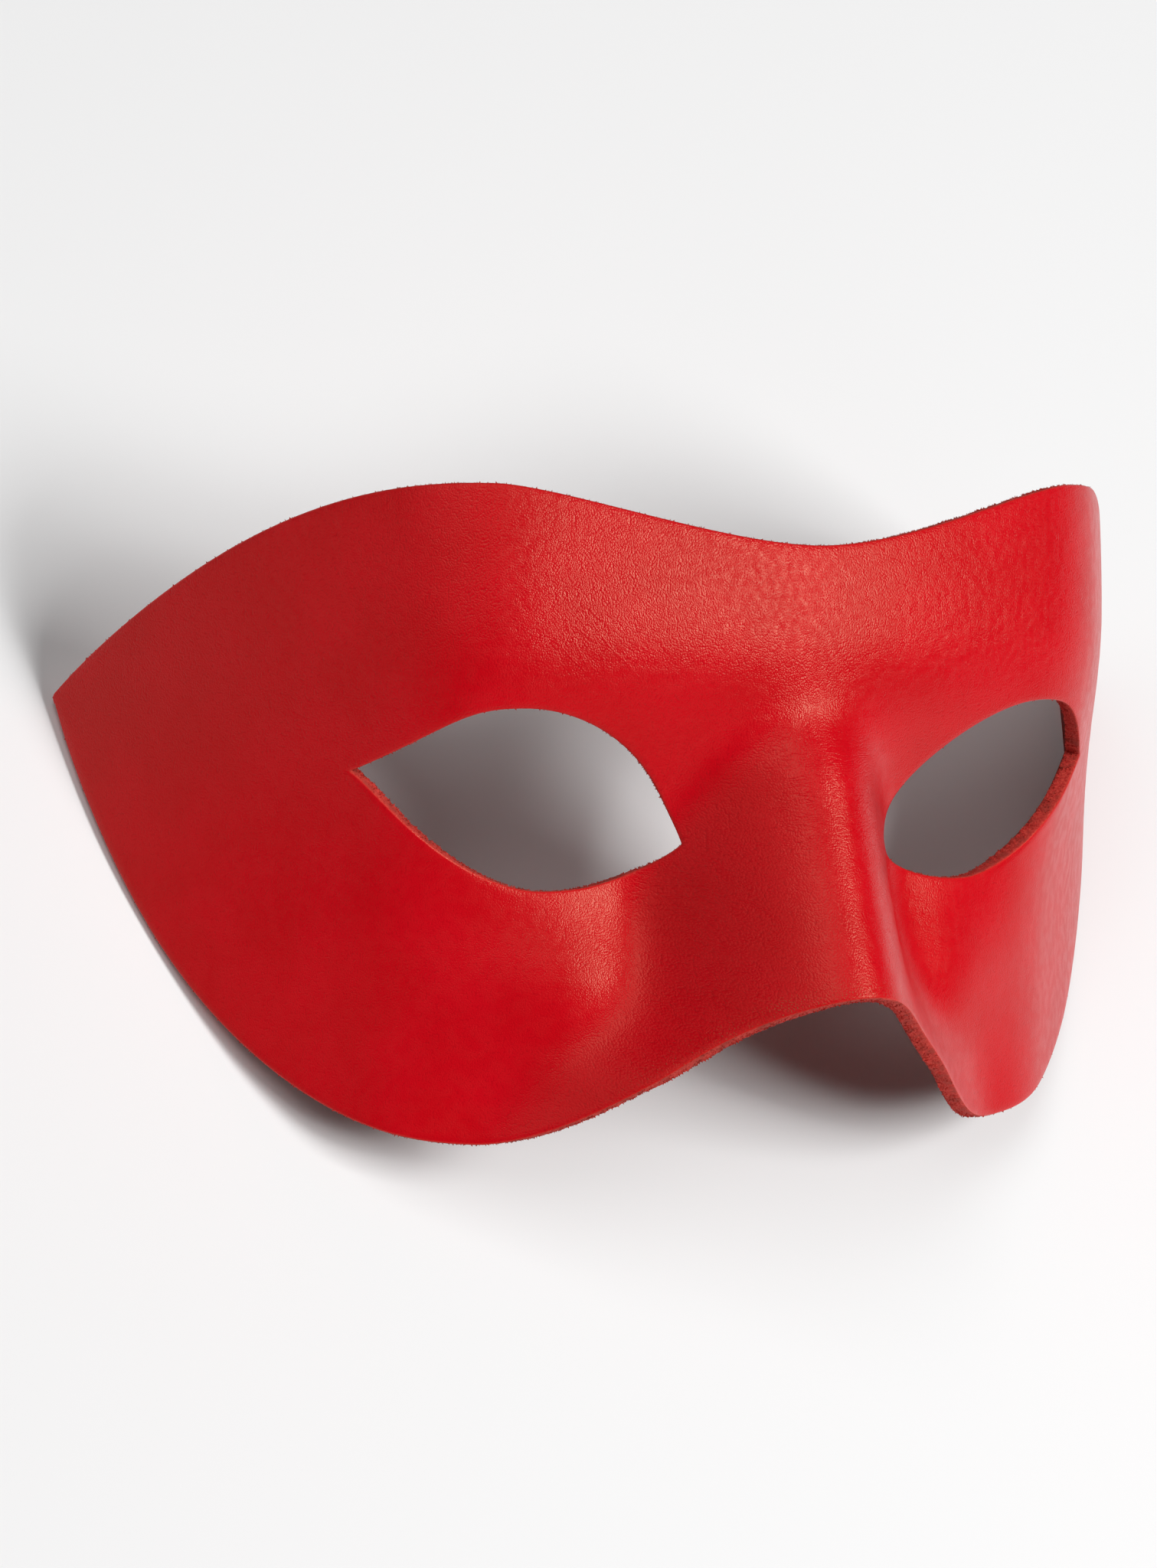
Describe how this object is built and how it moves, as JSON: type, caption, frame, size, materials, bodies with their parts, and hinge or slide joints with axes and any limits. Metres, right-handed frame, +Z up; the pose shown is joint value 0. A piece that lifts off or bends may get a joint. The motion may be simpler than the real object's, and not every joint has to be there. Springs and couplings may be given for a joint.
{
  "type": "leather half mask",
  "caption": "Moulded leather half mask with pointed sides, almond eye openings and a ridge for the nose, worn over the upper face.",
  "frame": {"origin": "bottom centre of the bounding box, with the mask lying face up on its rim", "axes": "+Z up, out of the lying mask; +Y towards the forehead; +X to the right of somebody who looks at the face"},
  "size_m": [0.177, 0.085, 0.0719],
  "materials": {
    "red_leather": "dyed grain leather with a satin sheen"
  },
  "bodies": {
    "root": {"leather_mask": "red_leather"}
  },
  "joints": []
}
